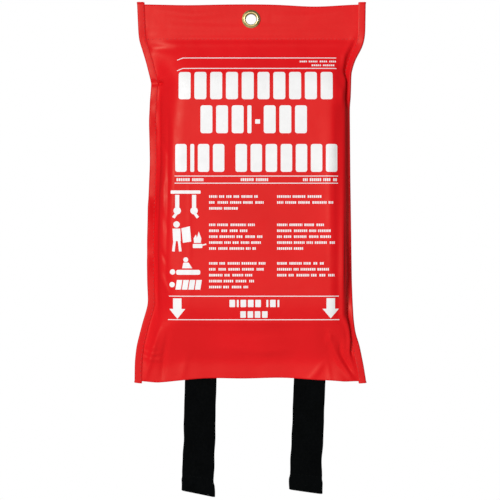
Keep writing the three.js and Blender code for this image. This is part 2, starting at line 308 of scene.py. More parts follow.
WEBBING = Look("black_webbing", (0.002, 0.003, 0.003), 0.9, Sheen_Weight=0.015, Specular_IOR_Level=0.06)
WEBBING.tint(14, 4, (0.0002, 0.0005, 0.0006), (0.0009, 0.0013, 0.0015))
WEBBING.bump(WEBBING.weave(1.3), 0.12)
WEBBING.bump(WEBBING.bands(2.6), 0.05)
WEBBING.rough(2, 2, 0.82, 0.97)

BRASS = Look("rolled_brass", (0.72, 0.6, 0.27), 0.25, 1.0)
BRASS.tint(5, 4, (0.62, 0.5, 0.19), (0.82, 0.7, 0.36))
BRASS.rough(1.5, 4, 0.28, 0.42)
BRASS.bump(BRASS.noise(1.5, 3), 0.008)

INK = Look("white_ink", (0.9, 0.9, 0.89), 0.5)
INK.tint(9, 4, (0.89, 0.885, 0.88), (0.95, 0.95, 0.945), 0.25, 0.75)
INK.bump(INK.weave(0.95), 0.01)
INK.rough(2, 3, 0.42, 0.58)

GLASS_CLOTH = Look("glass_cloth", (0.8, 0.78, 0.72), 0.7, Sheen_Weight=0.35, Sheen_Roughness=0.35)
GLASS_CLOTH.tint(25, 4, (0.7, 0.68, 0.61), (0.84, 0.82, 0.77))
GLASS_CLOTH.bump(GLASS_CLOTH.weave(1.5), 0.25)
GLASS_CLOTH.rough(3, 3, 0.55, 0.8)

PILE = Look("hook_and_loop_pile", (0.42, 0.02, 0.03), 0.95, Sheen_Weight=0.5)
PILE.tint(1.2, 4, (0.3, 0.012, 0.02), (0.5, 0.03, 0.04))
PILE.bump(PILE.noise(0.7, 3), 0.4)


# ---- Camera, light and floor ----

CAMERA_PLACE = (-0.0009, -1.0833, -0.1799)
WORLD_LIGHT = 0.12  # what the white backdrop adds to the lamps
FLOOR_HALF = 1.2
FLOOR_LEVEL = -0.75


def make_camera():
    camera = add_object("camera", bpy.data.cameras.new("camera"))
    camera.data.lens = 100
    set_all(camera, location=CAMERA_PLACE, rotation_euler=(math.pi / 2, 0, 0))
    bpy.context.scene.camera = camera


def area_light(name, place, target, size, power):
    light = add_object(name, bpy.data.lights.new(name, "AREA"))
    set_all(light.data, shape="RECTANGLE", size=size[0], size_y=size[1], energy=power)
    turn = (Vector(target) - Vector(place)).to_track_quat("-Z", "Y").to_euler()
    set_all(light, location=place, rotation_euler=turn)


def make_studio():
    world = bpy.data.worlds.new("studio")
    nodes = Nodes(world)
    levels = {"To Min": WORLD_LIGHT, "To Max": 1.0}
    levels["Value"] = nodes.node("ShaderNodeLightPath", {}, "Is Camera Ray")
    strength = nodes.node("ShaderNodeMapRange", levels, "Result")
    nodes.fill(nodes.tree.nodes["Background"], {"Color": (1, 1, 1, 1), "Strength": strength})
    bpy.context.scene.world = world
    bpy.context.scene.view_settings.view_transform = "Standard"
    area_light("key", (-1.65, -4.0, 0.85), (0, 0, -0.12), (1.0, 1.0), 142)
    area_light("fill", (0.35, -3.0, 0.1), (0, 0, -0.15), (0.5, 1.6), 11)
    area_light("rim", (0.2, 1.1, 0.5), (0, 0, -0.15), (0.8, 0.5), 7)


def make_floor():
    look = Look("pale_floor", (0.82, 0.82, 0.81), 0.85)
    look.tint(300, 3, (0.8, 0.8, 0.79), (0.84, 0.84, 0.83))
    signs = ((-1, -1), (1, -1), (1, 1), (-1, 1))
    corners = [(x * FLOOR_HALF, y * FLOOR_HALF, FLOOR_LEVEL) for x, y in signs]
    floor = new_object("floor", corners, [(0, 1, 2, 3)])
    floor.data.materials.append(look.material)


# ---- The pouch's shape, by cloth simulation ----

SIM_SCALE = 10  # the solver works better on a larger sheet
GRID = (45, 78)
FRAMES = 45
GROWN = 28  # the frame at which the pack is fully thick
SEAM_COLUMNS = 3  # the grid's columns in each bound side seam
LIP_ROWS = 4  # the rows at the mouth that are sewn shut while the cloth settles
START_GAP = 1.2 * MM  # half the space between the layers before the pack thickens
PACK_GRID = (40, 30)
PACK_HALF_DEPTH = 11.9 * MM
HELD_LEVEL = -9 * MM  # the header above this is pinned
WAVES_FROM = -255 * MM  # the mouth's waves start at this level
WAVES_OVER = 22 * MM  # and are full this far below it


def envelope_lines():
    """The grid's columns and rows on the flat envelope, and how many rows are in the header."""
    columns, rows = GRID
    inner = np.linspace(-(FLAT_HALF - FIN), FLAT_HALF - FIN, columns)
    outer = FLAT_HALF - FIN / 2
    xs = np.concatenate([[-FLAT_HALF, -outer], inner, [outer, FLAT_HALF]])
    header_rows = round(rows * (HEADER_TOP - HEADER_SEAM) / (HEADER_TOP - FLAT_BOTTOM))
    header = np.linspace(HEADER_TOP, HEADER_SEAM, header_rows)
    body = np.linspace(HEADER_SEAM, FLAT_BOTTOM, rows - header_rows + 1)[1:]
    return xs, np.concatenate([header, body]), header_rows


def header_droop(x, z):
    """The header's top edge sags a little on each side of the eyelet."""
    near_top = smooth((z - HEADER_SEAM) / (HEADER_TOP - HEADER_SEAM))
    sag = 0.7 * MM if x < 0 else 1.9 * MM
    return near_top * (0.1 * MM - sag * math.exp(-((abs(x) - 50 * MM) / (22 * MM)) ** 2))


def two_layers(places, joined):
    """A front and a back layer from a grid of (x, depth, z), with one vertex where they are joined."""
    vertices, faces = [], []
    front, back = np.zeros((2, *joined.shape), int)
    for at in np.ndindex(joined.shape):
        x, depth, z = places[at]
        front[at] = len(vertices)
        vertices.append((x, -depth, z))
        if not joined[at]:
            vertices.append((x, depth, z))
        back[at] = len(vertices) - 1
    for ring in grid_faces(*joined.shape):
        near = front.ravel()[list(ring)]
        far = back.ravel()[list(reversed(ring))]
        faces.append(near)
        if set(near) != set(far):
            faces.append(far)
    return np.array(vertices) * SIM_SCALE, faces, front, back


def envelope_mesh(xs, zs, header_rows):
    """Two layers that share their vertices in the header and the side seams."""
    joined = np.zeros((len(zs), len(xs)), bool)
    joined[:header_rows] = joined[:, :SEAM_COLUMNS] = joined[:, -SEAM_COLUMNS:] = True
    places = np.array([[(x, START_GAP, z + header_droop(x, z)) for x in xs] for z in zs])
    places[joined, 1] = 0
    return two_layers(places, joined)


# How far in from each edge the soft pack keeps rounding off
ROUND_LEFT, ROUND_RIGHT, ROUND_TOP, ROUND_BOTTOM = 13 * MM, 5 * MM, 17 * MM, 11 * MM
PACK_SHIFT = 1.2 * MM  # the pack sits a little to the right in its pouch


def pack_fullness(x, z):
    """The pack's thickness at a point as a share of its full thickness."""
    share = 1.0
    for inside, radius in (
        (x - PACK_LOW.x, ROUND_LEFT), (PACK_HIGH.x - x, ROUND_RIGHT),
        (PACK_HIGH.z - z, ROUND_TOP), (z - PACK_LOW.z, ROUND_BOTTOM),
    ):
        past = 1 - min(1.0, max(0.0, inside / radius))
        share *= math.sqrt(max(0.0, 1 - past * past))
    return share


def shares_close_at_ends(count):
    """Shares from 0 to 1 that lie closer together at both ends."""
    return [(1 - math.cos(math.pi * i / count)) / 2 for i in range(count + 1)]


def pack_collider():
    """The folded blanket and its straps as a soft pillow that thickens."""
    down, across = (shares_close_at_ends(count) for count in PACK_GRID)
    places = np.zeros((len(down), len(across), 3))
    for row, column in np.ndindex(places.shape[:2]):
        x = mix(PACK_LOW.x, PACK_HIGH.x, across[column])
        z = mix(PACK_HIGH.z, PACK_LOW.z, down[row])
        places[row, column] = (x + PACK_SHIFT, PACK_HALF_DEPTH * pack_fullness(x, z), z)
    joined = np.ones(places.shape[:2], bool)
    joined[1:-1, 1:-1] = False
    collider = new_object("collider", *two_layers(places, joined)[:2])
    collider.modifiers.new("collision", "COLLISION")
    collider.collision.thickness_outer = 0.002
    collider.collision.cloth_friction = 2
    for thickness, at in ((0.05, 1), (1.0, GROWN)):
        collider.scale.y = thickness
        collider.keyframe_insert("scale", frame=at)
    return collider


CLOTH = {
    "quality": 8, "mass": 0.35, "tension_stiffness": 60, "compression_stiffness": 60,
    "shear_stiffness": 30, "bending_stiffness": 1.2, "tension_damping": 10, "compression_damping": 10,
    "shear_damping": 10, "bending_damping": 1, "air_damping": 2, "vertex_group_mass": "pin",
    "use_sewing_springs": True, "sewing_force_max": 5,
    "shrink_min": -0.007,  # the slack that lets the sides pull in between their ends
}


def add_cloth(envelope):
    cloth = envelope.modifiers.new("cloth", "CLOTH")
    set_all(cloth.settings, **CLOTH)
    set_all(cloth.collision_settings, collision_quality=3, distance_min=0.006, use_self_collision=False)
    set_all(cloth.point_cache, frame_start=1, frame_end=FRAMES + 1)


def drape(envelope):
    """Runs the cloth over the growing pack and returns where its vertices end up."""
    add_cloth(envelope)
    collider = pack_collider()
    for at in range(1, FRAMES + 1):
        bpy.context.scene.frame_set(at)
    graph = bpy.context.evaluated_depsgraph_get()
    places = read_places(envelope.evaluated_get(graph).data) / SIM_SCALE
    bpy.data.objects.remove(envelope)
    bpy.data.objects.remove(collider)
    bpy.context.scene.frame_set(1)
    return places


def simulate_envelope():
    """The two layers as [row, column, xyz] grids, draped over the pack."""
    xs, zs, header_rows = envelope_lines()
    vertices, faces, front, back = envelope_mesh(xs, zs, header_rows)
    lips = [(a, b) for a, b in zip(front[-LIP_ROWS:].ravel(), back[-LIP_ROWS:].ravel()) if a != b]
    envelope = new_object("envelope", vertices, faces, lips)
    pin = envelope.vertex_groups.new(name="pin")
    for held in (front[zs > HELD_LEVEL], front[-2:, :SEAM_COLUMNS], front[-2:, -SEAM_COLUMNS:]):
        pin.add([int(i) for i in held.ravel()], 1.0, "REPLACE")
    result = drape(envelope)
    for layer in (front, back):
        for _ in range(3):
            relax(result, layer)
    draw_in(result, front)
    near_mouth = smooth((WAVES_FROM - result[:, 2]) / WAVES_OVER)
    result[:, 2] += near_mouth * mouth_wave(result[:, 0])
    return result[front], result[back], header_rows


def relax(places, grid):
    """Evens out the ripples that are as narrow as the grid, away from the bound sides."""
    layer = places[grid]
    across = layer.copy()
    across[:, 3:-3] = layer[:, 3:-3] / 2 + (layer[:, 2:-4] + layer[:, 4:-2]) / 4
    even = across.copy()
    even[1:-1, 3:-3] = across[1:-1, 3:-3] * 0.6 + (across[:-2, 3:-3] + across[2:, 3:-3]) * 0.2
    places[grid[:, 3:-3]] = even[:, 3:-3]


def soften_ridge(grid, x, z_range, reach, passes):
    """Rounds off the ridge that the pack's edge raises in a panel, around an upright line."""
    z_low, z_high = z_range
    levels = grid[..., 2] / MM
    past = levels - np.clip(levels, z_low, z_high)
    away = np.hypot(grid[..., 0] / MM - x, past) / reach
    share = np.clip(2 * (1 - away), 0, 1)
    share[:, :3] = share[:, -3:] = 0
    for _ in range(passes):
        even = grid[..., 1].copy()
        even[1:-1, 1:-1] = (
            grid[:-2, 1:-1, 1] + grid[2:, 1:-1, 1] + grid[1:-1, :-2, 1] + grid[1:-1, 2:, 1]
        ) / 4
        grid[..., 1] += (even - grid[..., 1]) * share


# The outer edge of each side as (z, x), in mm: broad at the header, drawn in round the pack
# and flared at the mouth
LEFT_OUTLINE = [
    (12, -88.2), (-15, -87), (-32, -81.6), (-50, -77.0), (-64, -78.3), (-80, -78.9), (-111, -78.2),
    (-145, -79.6), (-175, -80.4), (-205, -80.3), (-222, -79.5), (-238, -84.3), (-255, -88.6), (-267, -90),
    (-284, -90.2),
]
RIGHT_OUTLINE = [
    (12, 88.6), (-12, 88.2), (-18, 87.2), (-24, 84.8), (-31.5, 80.2), (-42, 77.0), (-71, 76.2), (-127, 76.7),
    (-203, 77.8), (-233, 78.8), (-245, 80.4), (-252.5, 83.2), (-270, 87.1), (-284, 89.4),
]
STILL_HALF = 46 * MM  # nearer the middle than this, the cloth isn't drawn in


def draw_in(places, grid):
    """Draws each side in or out to its outline, most at the edge and not at all in the middle."""
    shift = np.zeros(len(places))
    for outline, edge_column, root_column in ((LEFT_OUTLINE, 0, 2), (RIGHT_OUTLINE, -1, -3)):
        levels, reaches = np.array(sorted(outline)).T * MM
        edge = places[grid[:, edge_column]]
        target = np.interp(edge[:, 2], levels, reaches)
        target = np.convolve(np.pad(target, 1, mode="edge"), [0.15, 0.7, 0.15], mode="valid")
        pull = target - edge[:, 0]
        root = places[grid[:, root_column]]
        order = np.argsort(edge[:, 2])
        pull_here = np.interp(places[:, 2], edge[order, 2], pull[order])
        root_here = np.interp(places[:, 2], root[order, 2], np.abs(root[order, 0]))
        same_side = places[:, 0] * math.copysign(1, reaches[0]) > 0
        share = smooth((np.abs(places[:, 0]) - STILL_HALF) / (root_here - STILL_HALF))
        shift += np.where(same_side, pull_here * share, 0)
    places[:, 0] += shift


def mouth_wave(x):
    """The mouth's edge droops towards the corners and is gently wavy."""
    along = x / MM
    droop = 2.6 * np.minimum(1, abs(along) / 72) ** 3 - 0.1 * np.maximum(0, abs(along) - 74)
    return (0.35 * np.cos((along - 23) / 9.2) - 0.35 - droop) * MM


def grid_normals(grid):
    down = np.gradient(grid, axis=0)
    across = np.gradient(grid, axis=1)
    normals = np.cross(across, down)
    return normals / np.linalg.norm(normals, axis=2, keepdims=True)


def part_layers(front, back, header_rows):
    """Moves the two layers apart where they share vertices or are sewn together."""
    middle = (front + back) / 2
    normals = grid_normals(middle)
    normals[normals[..., 1] > 0] *= -1  # towards the front
    row, column = (np.arange(count) for count in front.shape[:2])
    below_seam = smooth((row - header_rows) / 4)
    inside = smooth(np.minimum(column, column[::-1]) / 8 - 0.4)
    apart = mix(LAYER_GAP, LIP_GAP, np.outer(below_seam, inside))
    for layer, side in ((front, 1), (back, -1)):
        reach = ((layer - middle) * normals).sum(axis=2) * side
        short = np.maximum(apart - reach, 0)
        layer += normals * (short * side)[..., None]


def fold_lift(x, z, points, width, height):
    """How far a soft ridge, or a crease where its height is negative, raises the cloth; all in mm."""
    nearest = np.full(x.shape, np.inf)
    share = np.zeros(x.shape)
    for i, (start, end) in enumerate(zip(points, points[1:])):
        run_x, run_z = np.subtract(end, start)
        t = np.clip(((x - start[0]) * run_x + (z - start[1]) * run_z) / (run_x**2 + run_z**2), 0, 1)
        away = np.hypot(x - start[0] - t * run_x, z - start[1] - t * run_z)
        share = np.where(away < nearest, (i + t) / (len(points) - 1), share)
        nearest = np.minimum(nearest, away)
    taper = np.sin(np.pi * np.clip(share, 0.02, 0.98)) ** 0.5
    return height * taper * np.exp(-((nearest / width) ** 2))


# Each fold is its line of (x, z) points, its width and its height
SEAM_SWELLS = [
    ([(-84, -12.8), (84, -12.8)], 1.8, 0.28),
    ([(-84, -19.4), (84, -19.4)], 2.0, 0.35),
]
FRONT_FOLDS = [
    # The header's soft waves, and the cloth that swells on each side of its seam
    ([(-82, -5), (-30, -8), (30, -7), (82, -4)], 4.0, 0.5),
    ([(-78, 7), (-45, 3), (-15, 6)], 3.2, 0.45),
    ([(14, 1), (45, 2), (80, 7)], 4.2, 0.55),
    *SEAM_SWELLS,
    ([(-60, -1), (-20, -3)], 2.0, -0.1),
    # The shoulders
    ([(-80, -22), (-72, -22.5), (-58, -24)], 3.4, -0.7),
    ([(-77, -49.8), (-73, -50.2), (-69, -50)], 1.1, -2.2),
    ([(-77, -46.5), (-66, -46)], 1.6, 0.9),
    ([(84, -14), (78, -27), (73.5, -40), (73, -60)], 1.3, -2.2),
    ([(79, -15), (72, -29), (69.5, -44), (69, -64)], 1.6, 1.2),
    # Ripples down the left side
    ([(-71, -56), (-71, -110), (-73, -170), (-72.5, -232)], 1.1, -0.9),
    ([(-68, -60), (-67.5, -120), (-69.5, -180), (-69, -236)], 2.0, 0.5),
    ([(-64, -75), (-64.5, -130), (-66, -205)], 1.5, -0.6),
    ([(-60.5, -80), (-60, -140), (-62, -200)], 2.2, 0.35),
    ([(-69, -92), (-64, -110)], 1.6, -0.5),
    ([(-70, -146), (-65, -166)], 1.7, -0.5),
    ([(-66, -124), (-71, -142)], 1.8, 0.45),
    ([(-70, -196), (-64, -214)], 1.6, 0.7),
    ([(-71, -176), (-66, -190)], 1.3, -0.6),
    # The edge of the pack and the deep crease beside it, down the right side
    ([(68.6, -56), (68.8, -120), (68.2, -230), (72.2, -246), (76.4, -260)], 1.05, 2.1),
    ([(73.4, -44), (73.3, -120), (73.6, -236), (75.8, -247), (79.5, -262)], 1.4, -5.4),
    ([(65.5, -60), (65.5, -230)], 1.3, -0.3),
    # Long soft hollows over the layers of the folded blanket
    ([(-48, -95), (-47, -235)], 1.6, 0.2),
    ([(60, -100), (61, -215)], 1.8, 0.25),
    ([(-20, -60), (22, -92)], 6.0, 0.3),
    ([(10, -140), (40, -205)], 8.0, -0.35),
    # The taper to the mouth
    ([(60, -243), (65, -259), (70, -268), (79, -281)], 2.0, 1.5),
    ([(66, -247), (70.5, -262), (79, -276)], 1.6, -1.2),
    ([(73, -248), (80, -276)], 1.5, 0.7),
    ([(58, -265), (51, -275), (43, -284)], 2.4, 0.6),
    ([(59, -266), (62, -284)], 1.8, 0.5),
    ([(58, -253), (62, -245)], 2.2, 0.5),
    ([(-84, -259), (-78, -261), (-69, -260)], 1.2, 0.6),
    ([(-84, -263.5), (-77, -265), (-68, -266)], 1.2, 0.7),
    ([(-83, -255), (-72, -256.5)], 1.3, 0.5),
    ([(-70, -238), (-75, -254), (-82, -279)], 2.0, 1.2),
    ([(-64, -242), (-68, -262), (-70, -282)], 2.2, -0.9),
    ([(-50, -260), (-54, -283)], 3.0, 0.6),
    ([(-20, -256), (10, -259), (30, -257)], 3.0, 0.5),
    ([(-30, -246), (35, -243)], 4.5, -0.5),
    ([(-60, -236), (60, -236)], 2.0, 0.4),
]
BACK_FOLDS = [
    *SEAM_SWELLS,
    ([(-78, 3), (0, -6), (78, 4)], 4.0, 0.5),
    ([(-79, -26), (-70, -44), (-62, -52)], 2.6, 0.7),
    ([(79, -26), (70, -42), (64, -54)], 2.4, 0.7),
    ([(-70, -55), (-69, -140), (-70, -236), (-80, -270)], 1.8, 0.5),
    ([(70, -55), (69, -140), (70, -236), (80, -270)], 1.8, 0.5),
    ([(-50, -70), (-20, -120), (-30, -190)], 6.0, 0.4),
    ([(45, -60), (20, -150), (40, -220)], 7.0, -0.4),
    ([(-30, -60), (35, -66)], 4.0, 0.35),
    ([(-62, -244), (-72, -278)], 2.2, -0.6),
    ([(60, -246), (74, -279)], 2.2, 0.7),
    ([(-20, -248), (-28, -279)], 3.0, 0.4),
    ([(20, -250), (26, -279)], 3.0, -0.4),
]


def sculpt(piece, grid, folds):
    """Raises the folds in a panel, but leaves the bound edges of its grid as they are."""
    mesh = piece.data
    places = read_places(mesh)
    normals = np.array([vertex.normal[:] for vertex in mesh.vertices])
    lift = sum(fold_lift(places[:, 0] / MM, places[:, 2] / MM, *fold) for fold in folds) * MM
    left, right = (np.interp(places[:, 2], grid[::-1, c, 2], grid[::-1, c, 0]) for c in (0, -1))
    edge = np.minimum(places[:, 0] - left, right - places[:, 0])
    inside = np.clip((edge - FIN * 0.9) / (2 * MM), 0, 1)
    write_places(mesh, places + normals * (lift * inside)[:, None])


def bulge_right_wall(piece, grid):
    """The pack's right wall leans out over the bound edge, so that a deep crease runs between them."""
    places = read_places(piece.data)
    x, y, z = places.T / MM
    edge = np.interp(places[:, 2], grid[::-1, -1, 2], grid[::-1, -1, 0])
    inside = smooth((edge - places[:, 0] - 0.85 * FIN) / (2 * MM))
    beside = smooth((x - 63) / 6) * smooth((z + 264) / 22) * smooth((-38 - z) / 12)
    in_front = smooth((-2.2 - y) / 2.5) * (1 - 0.6 * smooth((-7 - y) / 3))
    places[:, 0] += 3.4 * MM * beside * in_front * inside
    write_places(piece.data, places)


def pinch_left_shoulder(piece):
    """A short crease across the left side, where the pack draws it in most sharply."""
    places = read_places(piece.data)
    x, _, z = places.T / MM
    places[:, 1] += 2.4 * MM * smooth((-67.5 - x) / 4) * np.exp(-((z + 50) / 1.2) ** 2)
    write_places(piece.data, places)


def punch_hole(piece, radius):
    """Cuts the eyelet's hole through a panel's middle surface before it is thickened."""
    bm = bmesh.new()
    bm.from_mesh(piece.data)
    near = [v for v in bm.verts if math.hypot(v.co.x, v.co.z) < radius]
    bmesh.ops.delete(bm, geom=near, context="VERTS")
    rim = {v for e in bm.edges if e.is_boundary for v in e.verts}
    for vertex in rim:
        reach = math.hypot(vertex.co.x, vertex.co.z)
        if reach < 1.8 * radius:
            vertex.co.x *= radius / reach
            vertex.co.z *= radius / reach
    bm.to_mesh(piece.data)
    bm.free()


class Skin:
    """The outer face of a panel, found by a ray along Y."""

    def __init__(self, piece, facing):
        points = [vertex.co[:] for vertex in piece.data.vertices]
        faces = [face.vertices[:] for face in piece.data.polygons]
        self.tree = BVHTree.FromPolygons(points, faces)
        self.facing = facing  # -1 for the front, 1 for the back

    def point(self, x, z, lift=0.0):
        start = Vector((x, self.facing * 0.2, z))
        place, normal, _, _ = self.tree.ray_cast(start, Vector((0, -self.facing, 0)))
        if place is None:
            place, normal, _, _ = self.tree.find_nearest(Vector((x, 0, z)))
        if normal.y * self.facing < 0:
            normal = -normal
        return place + normal * lift


def fabric_panel(name, node, grid, folds, facing):
    """One panel of the pouch; returns its outer face, for what lies on it."""
    panel = grid_piece(name, grid, flipped=facing > 0)
    subdivide(panel, 2)
    sculpt(panel, grid, folds)
    if facing < 0:
        bulge_right_wall(panel, grid)
    pinch_left_shoulder(panel)
    punch_hole(panel, EYELET_HIGH.x * 0.7)
    thicken(panel, FABRIC)
    finish_piece(panel, PVC, "pvc_fabric", "pouch", node)
    flatten_with_blanket(panel)
    return Skin(panel, facing)


# ---- Print on the front ----

INK_STEP = 2.5 * MM
INK_LIFT = 0.11 * MM
INK_THICKNESS = 0.12 * MM
INK_CUTS = 7  # at most this many rounds of cutting long edges
DISC_SIDES = 16


class Print:
    """Flat shapes in (x, z), in millimetres, that are laid on the front as thin ink."""

    def __init__(self, name):
        self.name = name
        self.bm = bmesh.new()

    def polygon(self, points):
        vertices = [self.bm.verts.new((x * MM, 0, z * MM)) for x, z in points]
        self.bm.faces.new(vertices)

    def bar(self, x0, x1, z0, z1, corner=0.0):
        """A rectangle, with rounded corners if a corner radius is given."""
        if corner <= 0:
            self.polygon([(x0, z0), (x1, z0), (x1, z1), (x0, z1)])
            return
        r = min(corner, (x1 - x0) * 0.3)
        points = []
        corners = ((x1 - r, z1 - r), (x0 + r, z1 - r), (x0 + r, z0 + r), (x1 - r, z0 + r))
        for quarter, center in enumerate(corners):
            points += arc(center, r, quarter * 90, quarter * 90 + 90, 3)
        self.polygon(points)

    def line(self, points, width):
        for (x0, z0), (x1, z1) in zip(points, points[1:]):
            length = math.hypot(x1 - x0, z1 - z0)
            nx, nz = -(z1 - z0) / length * width / 2, (x1 - x0) / length * width / 2
            self.polygon([(x0 + nx, z0 + nz), (x0 - nx, z0 - nz), (x1 - nx, z1 - nz), (x1 + nx, z1 + nz)])

    def disc(self, x, z, radius):
        self.polygon(arc((x, z), radius, 0, 360, DISC_SIDES)[:-1])

    def lay(self, skin):
        self.bm.normal_update()
        bmesh.ops.triangulate(self.bm, faces=self.bm.faces)
        for _ in range(INK_CUTS):
            long_edges = [e for e in self.bm.edges if e.calc_length() > INK_STEP]
            if not long_edges:
                break
            bmesh.ops.subdivide_edges(self.bm, edges=long_edges, cuts=1)
            bmesh.ops.triangulate(self.bm, faces=self.bm.faces)
        for vertex in self.bm.verts:
            vertex.co = skin.point(vertex.co.x, vertex.co.z, INK_LIFT)
        for face in self.bm.faces:
            if face.normal.y > 0:
                face.normal_flip()
        mesh = bpy.data.meshes.new(self.name)
        self.bm.to_mesh(mesh)
        self.bm.free()
        piece = add_object(self.name, mesh)
        thicken(piece, INK_THICKNESS, -1)
        finish_piece(piece, INK, "white_print", "pouch")
        flatten_with_blanket(piece)


def print_rules(page):
    for level in (-31, -39.5):
        page.line([(-57.4, level - 1.8), (-53, level), (66, level)], 0.6)
    rules = ((-59, 67, -122.9), (-59, 67, -128.4), (-63.5, 67.7, -215.5), (-64.3, 68.2, -233.7))
    for left, right, level in rules:
        page.bar(left, right, level - 0.3, level + 0.3)


def letter_blocks(page, left, right, bottom, top, pattern):
    """A row of blocks in place of print: o is a block, i a narrow one, - a short dash, . a space."""
    widths = {"o": 1.0, "i": 0.5, "-": 0.55, ".": 0.5}
    pitch = (right - left) / sum(widths[mark] for mark in pattern)
    gap = pitch * 0.24
    corner = (top - bottom) * 0.08
    at = left
    for mark in pattern:
        wide = widths[mark] * pitch
        if mark in "oi":
            page.bar(at + gap / 2, at + wide - gap / 2, bottom, top, corner)
        if mark == "-":
            middle = (top + bottom) / 2 - (top - bottom) * 0.08
            page.bar(at + gap / 2, at + wide - gap / 2, middle - 1.7, middle + 1.7, 0.3)
        at += wide


def print_title(page):
    letter_blocks(page, -57.4, 64.3, -63.7, -42.4, "oooooooooo")
    letter_blocks(page, -40.5, 44.4, -89.9, -68.4, "oooi-ooo")
    letter_blocks(page, -59.9, 67.8, -119.7, -98.2, "oioo.ooooooo")
    letter_blocks(page, -17.4, 22.4, -223.9, -218.3, "oiooo.ioi")
    letter_blocks(page, -9, 13.3, -232.2, -227.1, "oooo")


def word_bars(page, dice, left, right, level, height):
    """A line of small text, with a narrow upright bar in the place of each letter."""
    at = left
    while right - at > 2.5:
        end = at + min(dice.uniform(3.5, 12.0), right - at)
        while end - at > 0.5:
            letter = min(dice.uniform(0.8, 1.3), end - at)
            page.bar(at, at + letter, level - height / 2, level + height / 2)
            at += letter + 0.45
        at = end + 1.5


def print_small_text(page):
    dice = random.Random(7)
    line_pitch = 4.56
    top_lines = (-138.7, -160.5, -190.2)
    lengths_left = ((38, 42, 26), (36, 30, 41, 40, 36), (44, 42, 34, 36, 30))
    lengths_right = ((38, 44), (36, 43, 44, 45, 20), (36, 41, 45))
    for start, lines_left, lines_right in zip(top_lines, lengths_left, lengths_right):
        for left, lines in ((-32.4, lines_left), (20.0, lines_right)):
            for row, length in enumerate(lines):
                word_bars(page, dice, left, left + length, start - row * line_pitch, 1.9)
    word_bars(page, dice, 37.6, 66.0, -33.9, 1.3)
    word_bars(page, dice, 46.8, 66.0, -37.0, 1.3)
    for left, right in ((-57.5, -36), (-8, 13), (40, 66.5)):
        word_bars(page, dice, left, right, -125.7, 2.2)


def print_arrows(page):
    shaft, head = 3.3, 8.2
    for left, right, top, bottom in ((-63.2, -50.8, -217.2, -233.0), (55.0, 67.7, -217.0, -232.6)):
        middle, neck = (left + right) / 2, top - head
        page.polygon([
            (middle - shaft, top), (middle + shaft, top), (middle + shaft, neck), (right, neck),
            (middle, bottom), (left, neck), (middle - shaft, neck),
        ])


def print_pictograms(page):
    """Four simple pictures: pull both straps, cover the fire, and wrap a person lying down."""
    # Two straps under the pouch, with a hand on each
    page.bar(-62, -39, -136.5, -134, 0.5)
    for x in (-57, -44):
        page.bar(x - 1.6, x + 1.6, -147, -137.4)
        page.disc(x, -149.6, 2.9)
        page.line([(x, -151), (x + (3 if x > -50 else -3), -155)], 2.2)
    # A figure that holds the blanket in front of a burning pan
    page.disc(-57.5, -160.2, 2.5)
    page.polygon([(-60.6, -163.4), (-54.6, -163.4), (-54.2, -173), (-60.2, -173)])
    page.line([(-59, -172.8), (-60, -181)], 2.0)
    page.line([(-55.6, -172.8), (-54.6, -181)], 2.0)
    page.polygon([(-53.8, -163.2), (-47.2, -161.6), (-46.2, -173.4), (-52.6, -174.4)])
    page.bar(-45, -37.6, -178.4, -175.2, 0.6)
    page.line([(-37.8, -176.2), (-34.6, -175.4)], 1.0)
    page.polygon([
        (-44, -174.4), (-44.4, -171), (-42.6, -168), (-41.8, -170.6), (-40.4, -165.6), (-38.4, -171),
        (-38.8, -174.4),
    ])
    # A person lying down, with a helper beside them
    page.disc(-60.6, -196.8, 2.1)
    page.bar(-57.8, -39.2, -199.0, -195.2, 1.4)
    page.disc(-50.4, -187.4, 1.9)
    page.polygon([(-52.2, -189.6), (-48.2, -189.6), (-45.4, -194.0), (-53.2, -194.0)])
    # The person wrapped in the blanket
    page.disc(-61.0, -206.6, 2.1)
    for start in range(4):
        left = -58.4 + start * 5.0
        page.polygon([(left, -210.4), (left + 4.2, -210.4), (left + 5.4, -203.0), (left + 1.2, -203.0)])


# ---- Bindings, stitches, eyelet and closure ----

def binding_outline(swelling):
    """The folded strip's section: (along the fin, across it), in mm."""
    width, outer, inner = 5.1, 1.25 * swelling, 0.74
    turns = [math.pi * i / 6 for i in range(7)]
    outside = [(-width, 0.95), (-width * 0.9, 1.12), (-width * 0.6, outer), (-width * 0.25, outer)]
    around = [(0.85 * swelling * math.sin(t), outer * math.cos(t)) for t in turns]
    inside = [(0.35 * math.sin(t), inner * math.cos(t)) for t in reversed(turns)]
    ends = [(-width * 0.5, inner), (-width, inner)]
    below = [(x, -y) for x, y in reversed(outside)]
    return outside + around + below + [(x, -y) for x, y in reversed(ends)] + inside + ends


def fin_frames(column, inner_column):
    """The fin's edge, its outward direction and its normal towards the front, row by row."""
    middle = (FRONT + BACK) / 2
    edge, root = middle[:, column], middle[:, inner_column]
    outward = edge - root
    outward /= np.linalg.norm(outward, axis=1, keepdims=True)
    along = np.gradient(edge, axis=0)
    along /= np.linalg.norm(along, axis=1, keepdims=True)
    normal = np.cross(outward, along)
    normal *= -np.sign(normal[:, 1:2])
    return edge, outward, normal, along


# Beyond each end of a side seam the strip goes on as (mm past the end, swelling of its section)
STRIP_TOP = [(-2.0, 1.05), (-1.6, 1.3), (-0.9, 1.25), (-0.2, 1.0)]
STRIP_BOTTOM = [(0.2, 1.0), (0.8, 1.25), (1.5, 1.35), (1.9, 1.05)]
SEAM_INSET = 4.0 * MM  # from the fin's edge
SEAM_LIFT = 1.27 * MM  # from the middle of the fin to the strip's face


